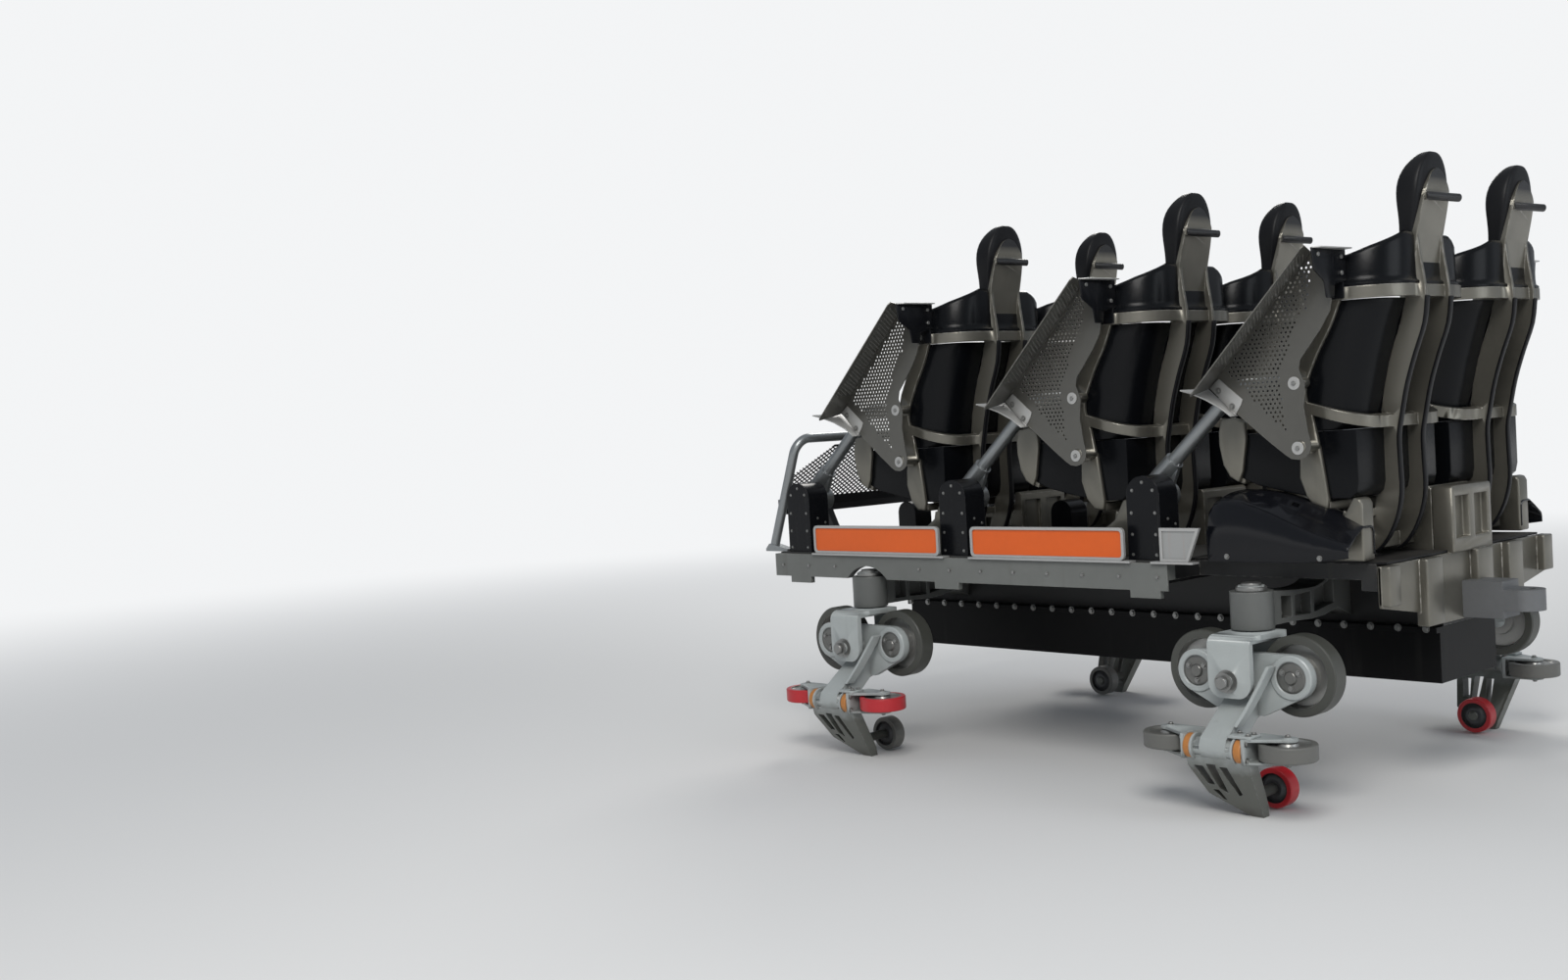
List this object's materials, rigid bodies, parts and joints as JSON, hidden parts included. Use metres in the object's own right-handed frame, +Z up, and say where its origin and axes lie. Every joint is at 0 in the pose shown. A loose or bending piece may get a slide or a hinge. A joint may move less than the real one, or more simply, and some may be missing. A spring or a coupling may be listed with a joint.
{
  "type": "roller coaster car",
  "caption": "Seat car of a steel roller coaster: rows of bucket seats with lap bars and perforated arm shields on a flat frame, carried by rail-gripping wheel bogies.",
  "frame": {"origin": "middle of the car's box at the level of the bogie carriers' lowest tips, which it stands on when it is off its rails", "axes": "+X is the direction of travel, +Y is the car's left side, +Z is up"},
  "size_m": [3.4498, 2.274, 2.37],
  "materials": {
    "chassis_paint": "satin grey paint",
    "floor_plate": "dark tread plate",
    "arm_paint": "satin light grey paint",
    "cast_grey": "satin warm grey paint on castings",
    "sill_metal": "brushed edge trim",
    "sign_orange": "blank orange board",
    "cover_black": "black moulded cover",
    "tube_steel": "satin steel tube",
    "mesh_black": "black perforated sheet",
    "magnet_black": "black magnet carrier",
    "coupler_steel": "blue-grey paint",
    "shell_black": "glossy black seat shell",
    "shield_sheet": "satin grey perforated sheet",
    "bogie_paint": "light blue-grey paint",
    "road_wheel": "worn running tread on a machined hub",
    "guide_wheel_red": "red running tread"
  },
  "bodies": {
    "car": {"chassis_frame": "chassis_paint", "floor_pan": "floor_plate", "seat_columns": "cast_grey", "kingpin_arms_front": "arm_paint", "kingpin_arms_rear": "arm_paint", "sill_frames": "sill_metal", "sill_panels": "sign_orange", "lap_housings": "cover_black", "centre_housings": "cover_black", "front_guard": "tube_steel", "guard_mesh": "mesh_black", "rear_fender": "cover_black", "magnet_carrier": "magnet_black", "couplers": "coupler_steel", "seat_frame_1": "cast_grey", "seat_frame_2": "cast_grey", "seat_frame_3": "cast_grey", "seat_shell_1": "shell_black", "seat_shell_2": "shell_black", "seat_shell_3": "shell_black", "seat_pan_1": "shell_black", "seat_pan_2": "shell_black", "seat_pan_3": "shell_black", "arm_shields_1": "shield_sheet", "arm_shields_2": "shield_sheet", "arm_shields_3": "shield_sheet"},
    "lap_bar_1l": {"lap_bar_1l": "tube_steel"},
    "lap_bar_1r": {"lap_bar_1r": "tube_steel"},
    "lap_bar_2l": {"lap_bar_2l": "tube_steel"},
    "lap_bar_2r": {"lap_bar_2r": "tube_steel"},
    "lap_bar_3l": {"lap_bar_3l": "tube_steel"},
    "lap_bar_3r": {"lap_bar_3r": "tube_steel"},
    "bogie_fl": {"bogie_fl": "bogie_paint"},
    "road_wheel_fl_a": {"road_wheel_fl_a": "road_wheel"},
    "side_wheel_fl_a": {"side_wheel_fl_a": "guide_wheel_red"},
    "road_wheel_fl_b": {"road_wheel_fl_b": "road_wheel"},
    "side_wheel_fl_b": {"side_wheel_fl_b": "guide_wheel_red"},
    "upstop_wheel_fl": {"upstop_wheel_fl": "guide_wheel_red"},
    "bogie_fr": {"bogie_fr": "bogie_paint"},
    "road_wheel_fr_a": {"road_wheel_fr_a": "road_wheel"},
    "side_wheel_fr_a": {"side_wheel_fr_a": "guide_wheel_red"},
    "road_wheel_fr_b": {"road_wheel_fr_b": "road_wheel"},
    "side_wheel_fr_b": {"side_wheel_fr_b": "guide_wheel_red"},
    "upstop_wheel_fr": {"upstop_wheel_fr": "guide_wheel_red"},
    "bogie_rl": {"bogie_rl": "bogie_paint"},
    "road_wheel_rl_a": {"road_wheel_rl_a": "road_wheel"},
    "side_wheel_rl_a": {"side_wheel_rl_a": "guide_wheel_red"},
    "road_wheel_rl_b": {"road_wheel_rl_b": "road_wheel"},
    "side_wheel_rl_b": {"side_wheel_rl_b": "guide_wheel_red"},
    "upstop_wheel_rl": {"upstop_wheel_rl": "guide_wheel_red"},
    "bogie_rr": {"bogie_rr": "bogie_paint"},
    "road_wheel_rr_a": {"road_wheel_rr_a": "road_wheel"},
    "side_wheel_rr_a": {"side_wheel_rr_a": "guide_wheel_red"},
    "road_wheel_rr_b": {"road_wheel_rr_b": "road_wheel"},
    "side_wheel_rr_b": {"side_wheel_rr_b": "guide_wheel_red"},
    "upstop_wheel_rr": {"upstop_wheel_rr": "guide_wheel_red"}
  },
  "joints": [
    {"name": "lap_bar_1l_lift", "type": "hinge", "parent": "car", "child": "lap_bar_1l", "pos_m": [1.49, 0.64, 1.16], "axis": [0, 1, 0], "range_deg": [-2, 20]},
    {"name": "lap_bar_1r_lift", "type": "hinge", "parent": "car", "child": "lap_bar_1r", "pos_m": [1.49, -0.64, 1.16], "axis": [0, 1, 0], "range_deg": [-2, 20]},
    {"name": "lap_bar_2l_lift", "type": "hinge", "parent": "car", "child": "lap_bar_2l", "pos_m": [0.49, 0.64, 1.16], "axis": [0, 1, 0], "range_deg": [-2, 20]},
    {"name": "lap_bar_2r_lift", "type": "hinge", "parent": "car", "child": "lap_bar_2r", "pos_m": [0.49, -0.64, 1.16], "axis": [0, 1, 0], "range_deg": [-2, 20]},
    {"name": "lap_bar_3l_lift", "type": "hinge", "parent": "car", "child": "lap_bar_3l", "pos_m": [-0.51, 0.64, 1.16], "axis": [0, 1, 0], "range_deg": [-2, 20]},
    {"name": "lap_bar_3r_lift", "type": "hinge", "parent": "car", "child": "lap_bar_3r", "pos_m": [-0.51, -0.64, 1.16], "axis": [0, 1, 0], "range_deg": [-2, 20]},
    {"name": "bogie_fl_steer", "type": "hinge", "parent": "car", "child": "bogie_fl", "pos_m": [1, 0.825, 0.74], "axis": [0, 0, 1], "range_deg": [-12, 12]},
    {"name": "road_wheel_fl_a_spin", "type": "hinge", "parent": "bogie_fl", "child": "road_wheel_fl_a", "pos_m": [1.196, 0.825, 0.509], "axis": [0, 1, 0], "continuous": true},
    {"name": "side_wheel_fl_a_spin", "type": "hinge", "parent": "bogie_fl", "child": "side_wheel_fl_a", "pos_m": [1.243, 1.028, 0.27], "axis": [0, 0, 1], "continuous": true},
    {"name": "road_wheel_fl_b_spin", "type": "hinge", "parent": "bogie_fl", "child": "road_wheel_fl_b", "pos_m": [0.804, 0.825, 0.509], "axis": [0, 1, 0], "continuous": true},
    {"name": "side_wheel_fl_b_spin", "type": "hinge", "parent": "bogie_fl", "child": "side_wheel_fl_b", "pos_m": [0.757, 1.028, 0.27], "axis": [0, 0, 1], "continuous": true},
    {"name": "upstop_wheel_fl_spin", "type": "hinge", "parent": "bogie_fl", "child": "upstop_wheel_fl", "pos_m": [0.93, 0.825, 0.082], "axis": [0, 1, 0], "continuous": true},
    {"name": "bogie_fr_steer", "type": "hinge", "parent": "car", "child": "bogie_fr", "pos_m": [1, -0.825, 0.74], "axis": [0, 0, 1], "range_deg": [-12, 12]},
    {"name": "road_wheel_fr_a_spin", "type": "hinge", "parent": "bogie_fr", "child": "road_wheel_fr_a", "pos_m": [1.196, -0.825, 0.509], "axis": [0, 1, 0], "continuous": true},
    {"name": "side_wheel_fr_a_spin", "type": "hinge", "parent": "bogie_fr", "child": "side_wheel_fr_a", "pos_m": [1.243, -1.028, 0.27], "axis": [0, 0, 1], "continuous": true},
    {"name": "road_wheel_fr_b_spin", "type": "hinge", "parent": "bogie_fr", "child": "road_wheel_fr_b", "pos_m": [0.804, -0.825, 0.509], "axis": [0, 1, 0], "continuous": true},
    {"name": "side_wheel_fr_b_spin", "type": "hinge", "parent": "bogie_fr", "child": "side_wheel_fr_b", "pos_m": [0.757, -1.028, 0.27], "axis": [0, 0, 1], "continuous": true},
    {"name": "upstop_wheel_fr_spin", "type": "hinge", "parent": "bogie_fr", "child": "upstop_wheel_fr", "pos_m": [0.93, -0.825, 0.082], "axis": [0, 1, 0], "continuous": true},
    {"name": "bogie_rl_steer", "type": "hinge", "parent": "car", "child": "bogie_rl", "pos_m": [-1, 0.825, 0.74], "axis": [0, 0, 1], "range_deg": [-12, 12]},
    {"name": "road_wheel_rl_a_spin", "type": "hinge", "parent": "bogie_rl", "child": "road_wheel_rl_a", "pos_m": [-0.804, 0.825, 0.509], "axis": [0, 1, 0], "continuous": true},
    {"name": "side_wheel_rl_a_spin", "type": "hinge", "parent": "bogie_rl", "child": "side_wheel_rl_a", "pos_m": [-0.757, 1.028, 0.27], "axis": [0, 0, 1], "continuous": true},
    {"name": "road_wheel_rl_b_spin", "type": "hinge", "parent": "bogie_rl", "child": "road_wheel_rl_b", "pos_m": [-1.196, 0.825, 0.509], "axis": [0, 1, 0], "continuous": true},
    {"name": "side_wheel_rl_b_spin", "type": "hinge", "parent": "bogie_rl", "child": "side_wheel_rl_b", "pos_m": [-1.243, 1.028, 0.27], "axis": [0, 0, 1], "continuous": true},
    {"name": "upstop_wheel_rl_spin", "type": "hinge", "parent": "bogie_rl", "child": "upstop_wheel_rl", "pos_m": [-1.07, 0.825, 0.082], "axis": [0, 1, 0], "continuous": true},
    {"name": "bogie_rr_steer", "type": "hinge", "parent": "car", "child": "bogie_rr", "pos_m": [-1, -0.825, 0.74], "axis": [0, 0, 1], "range_deg": [-12, 12]},
    {"name": "road_wheel_rr_a_spin", "type": "hinge", "parent": "bogie_rr", "child": "road_wheel_rr_a", "pos_m": [-0.804, -0.825, 0.509], "axis": [0, 1, 0], "continuous": true},
    {"name": "side_wheel_rr_a_spin", "type": "hinge", "parent": "bogie_rr", "child": "side_wheel_rr_a", "pos_m": [-0.757, -1.028, 0.27], "axis": [0, 0, 1], "continuous": true},
    {"name": "road_wheel_rr_b_spin", "type": "hinge", "parent": "bogie_rr", "child": "road_wheel_rr_b", "pos_m": [-1.196, -0.825, 0.509], "axis": [0, 1, 0], "continuous": true},
    {"name": "side_wheel_rr_b_spin", "type": "hinge", "parent": "bogie_rr", "child": "side_wheel_rr_b", "pos_m": [-1.243, -1.028, 0.27], "axis": [0, 0, 1], "continuous": true},
    {"name": "upstop_wheel_rr_spin", "type": "hinge", "parent": "bogie_rr", "child": "upstop_wheel_rr", "pos_m": [-1.07, -0.825, 0.082], "axis": [0, 1, 0], "continuous": true}
  ]
}
